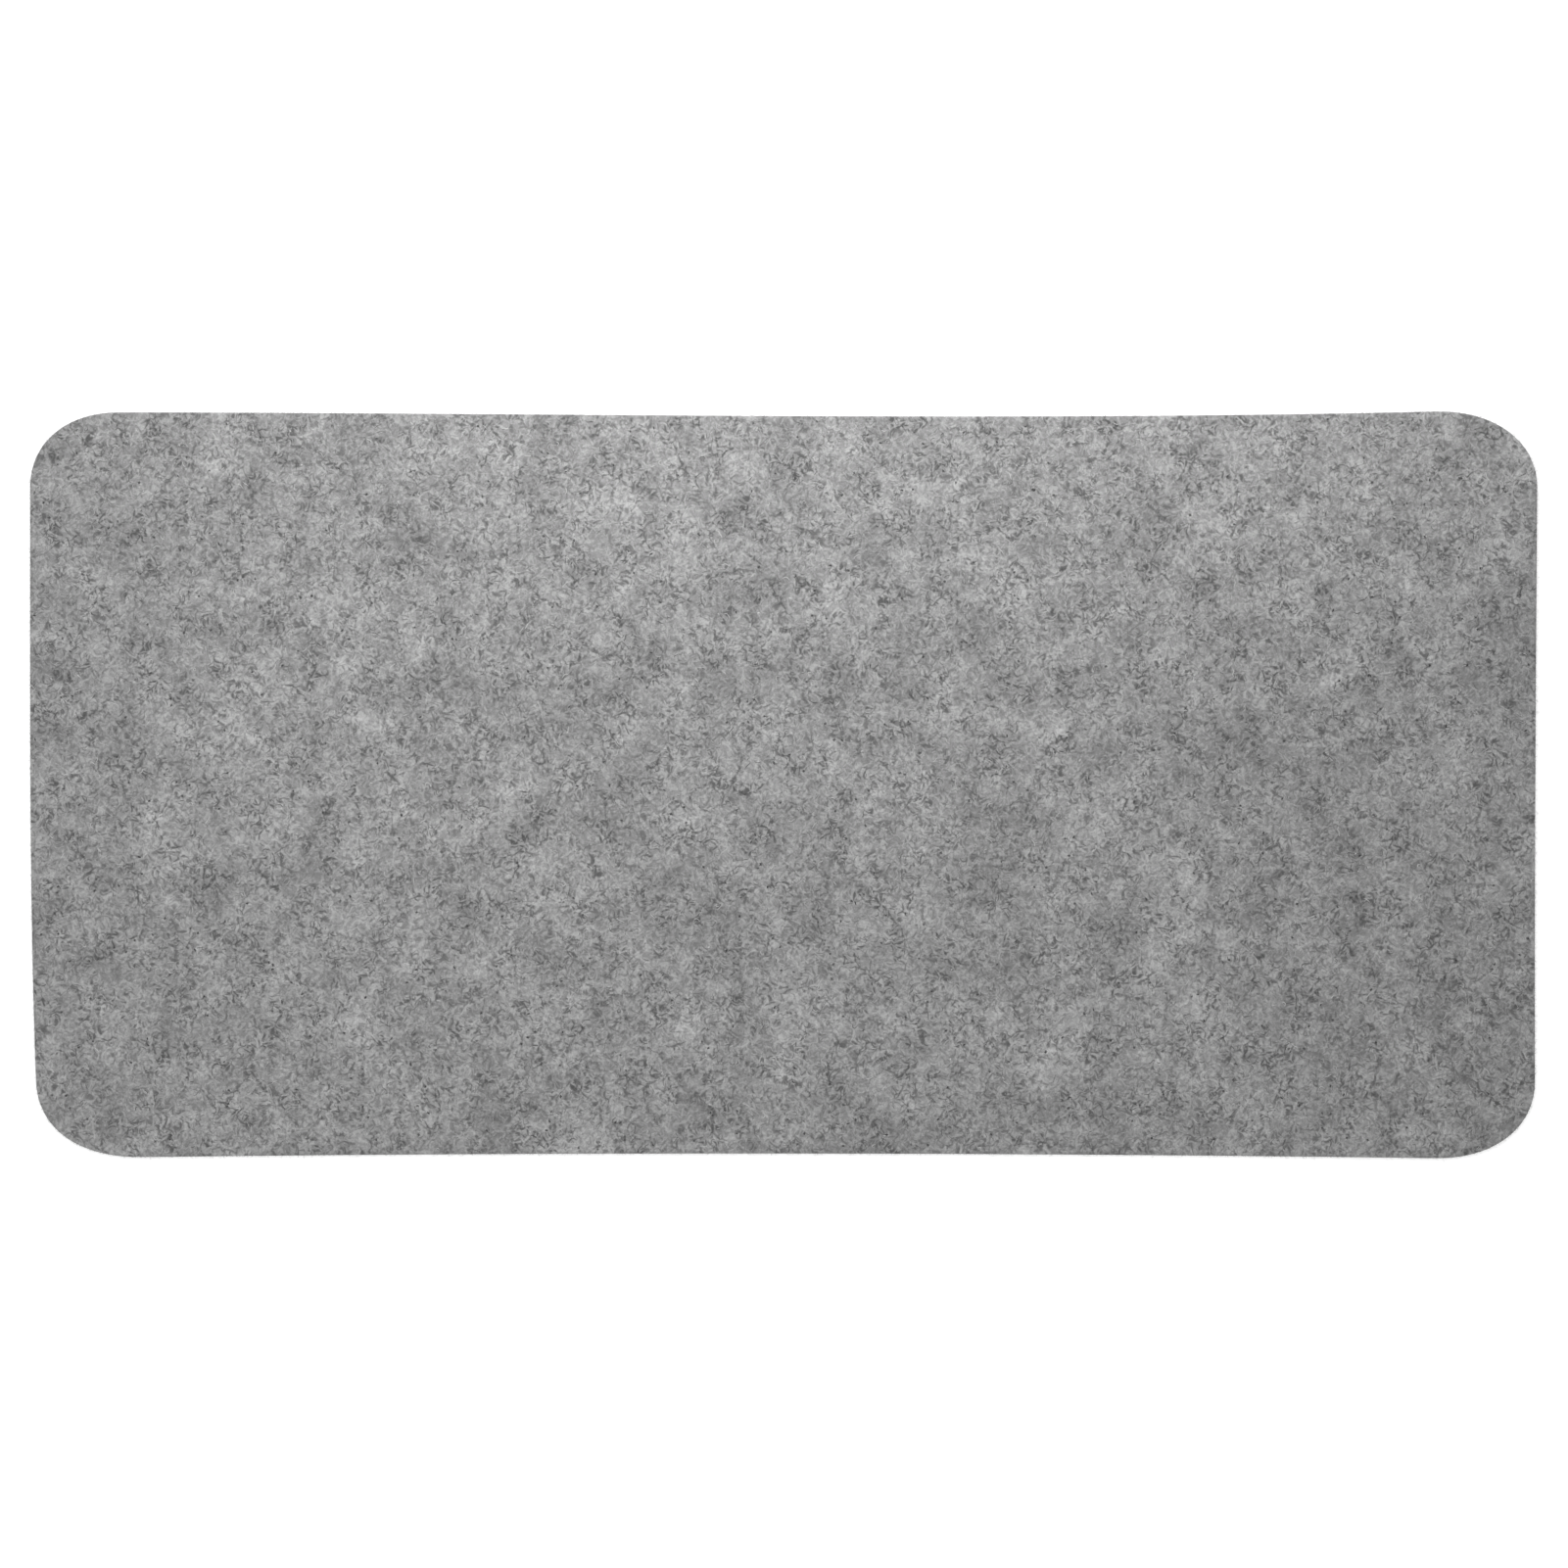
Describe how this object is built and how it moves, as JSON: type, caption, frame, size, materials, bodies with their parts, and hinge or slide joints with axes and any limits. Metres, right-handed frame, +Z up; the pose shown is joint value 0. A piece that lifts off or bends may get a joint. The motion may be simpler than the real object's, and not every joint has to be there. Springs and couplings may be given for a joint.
{
  "type": "desk mat",
  "caption": "Thin rounded-rectangle felt desk mat: a heather-grey needle-punched felt face bonded to a non-slip rubber backing, die cut flush all round.",
  "frame": {"origin": "centre of the mat's underside, on the desk top", "axes": "+X along the mat's length to the user's right, +Y along its depth away from the user, +Z up out of the felt face"},
  "size_m": [0.67, 0.332, 0.003],
  "materials": {
    "felt": "matt needle-punched polyester felt, mid heather grey made of light, mid and dark fibres, with a clean cut edge",
    "bond_adhesive": "milky translucent hot-melt film, seen only as a hairline at the rim",
    "backing_rubber": "matt dark grey foamed rubber with a fine raised grip dot pattern underneath"
  },
  "bodies": {
    "root": {"grip_backing": "backing_rubber", "bond_film": "bond_adhesive", "felt_sheet": "felt"}
  },
  "joints": []
}
